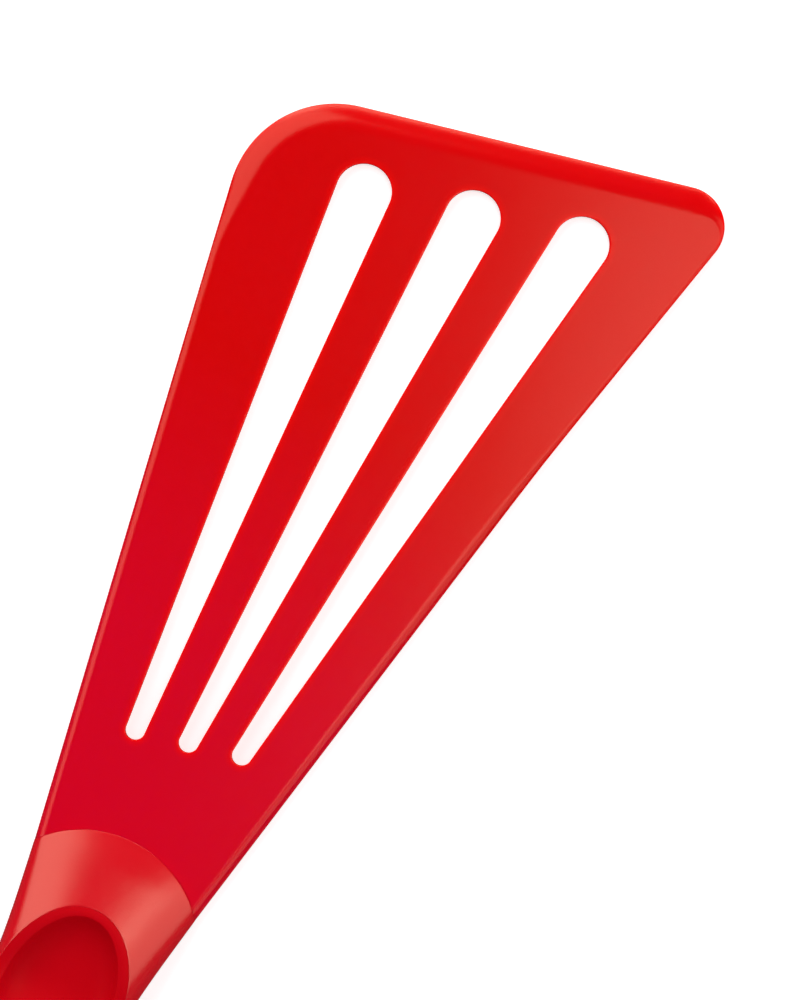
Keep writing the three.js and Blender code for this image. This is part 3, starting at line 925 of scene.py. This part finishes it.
dress(blade_piece, "blade_skin", silicone)
dress(top_piece, "handle_top_shell", nylon)
dress(bottom_piece, "handle_bottom_shell", nylon)
dress(pad_piece, "thumb_pad", soft_touch)
for node in ("blade_core", "tang_pin_front", "tang_pin_rear"):
    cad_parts[node].data.materials.clear()
    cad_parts[node].data.materials.append(steel)

# Camera

lens = bpy.data.cameras.new("camera")
lens.sensor_width = SENSOR
lens.lens = SENSOR * CAMERA_HEIGHT / PICTURE_HEIGHT
lens.clip_end = CAMERA_REACH
camera = new_object("camera", lens)
camera.location = PICTURE_MIDDLE + Vector((0, 0, CAMERA_HEIGHT))
camera.rotation_euler = (0, 0, TOOL_LEAN)
bpy.context.scene.camera = camera

# Stage


def backdrop():
    """The floor and the wall round it, as one turned sheet."""
    foot = FLOOR_RADIUS - WALL_CURVE
    profile = [(reach, 0) for reach in (*FLOOR_RINGS, foot)]
    for turn in quarter(WALL_STEPS)[1:]:
        profile.append((foot + WALL_CURVE * math.sin(turn), WALL_CURVE * (1 - math.cos(turn))))
    profile.append((FLOOR_RADIUS, WALL_HEIGHT))
    shape = bmesh.new()
    angles = np.linspace(0, 2 * math.pi, FLOOR_POINTS, endpoint=False)
    rings = [
        [shape.verts.new((r * math.cos(a), r * math.sin(a), z - FLOOR_DROP)) for a in angles]
        for r, z in profile
    ]
    shape.faces.new(rings[0])
    for inner, outer in zip(rings, rings[1:]):
        for i in range(FLOOR_POINTS):
            after = (i + 1) % FLOOR_POINTS
            shape.faces.new((inner[i], outer[i], outer[after], inner[after]))
    mesh = bpy.data.meshes.new("backdrop")
    shape.to_mesh(mesh)
    shape.free()
    mesh.shade_smooth()
    return new_object("backdrop", mesh)


floor = backdrop()
floor.data.materials.append(white_paper())

# Light


def soft_box(name, bearing, slant, distance, width, height, watts, mirrored=True):
    """A lamp that faces the picture's middle. Reflections show it only if it is mirrored.

    The bearing is in degrees anticlockwise from the picture's right, and the slant in degrees from
    overhead.
    """
    lamp = bpy.data.lights.new(name, "AREA")
    lamp.shape = "RECTANGLE"
    lamp.size = width
    lamp.size_y = height
    lamp.energy = watts
    turn = TOOL_LEAN + math.radians(bearing)
    lean = math.radians(slant)
    offset = Vector((math.sin(lean) * math.cos(turn), math.sin(lean) * math.sin(turn), math.cos(lean)))
    box = new_object(name, lamp)
    box.location = PICTURE_MIDDLE + offset * distance
    box.rotation_euler = (-offset).to_track_quat("-Z", "Y").to_euler()
    box.visible_camera = False
    box.visible_glossy = mirrored


soft_box("left_box", bearing=135, slant=46, distance=1.1, width=1.3, height=0.92, watts=8.8)
soft_box("right_box", bearing=-12, slant=38.5, distance=1, width=1.2, height=0.67, watts=3.6)
soft_box("top_box", bearing=85, slant=70, distance=2, width=2.2, height=0.9, watts=27)
soft_box("near_box", bearing=-13, slant=12.6, distance=0.413, width=0.23, height=0.12, watts=0.25)
soft_box("low_box", bearing=-33, slant=80, distance=1, width=0.8, height=0.5, watts=3, mirrored=False)

world = bpy.data.worlds.new("dim_room")
world.use_nodes = True
world.node_tree.nodes["Background"].inputs["Color"].default_value = (1, 1, 1, 1)
world.node_tree.nodes["Background"].inputs["Strength"].default_value = ROOM_LIGHT
bpy.context.scene.world = world
bpy.context.scene.view_settings.view_transform = "Standard"
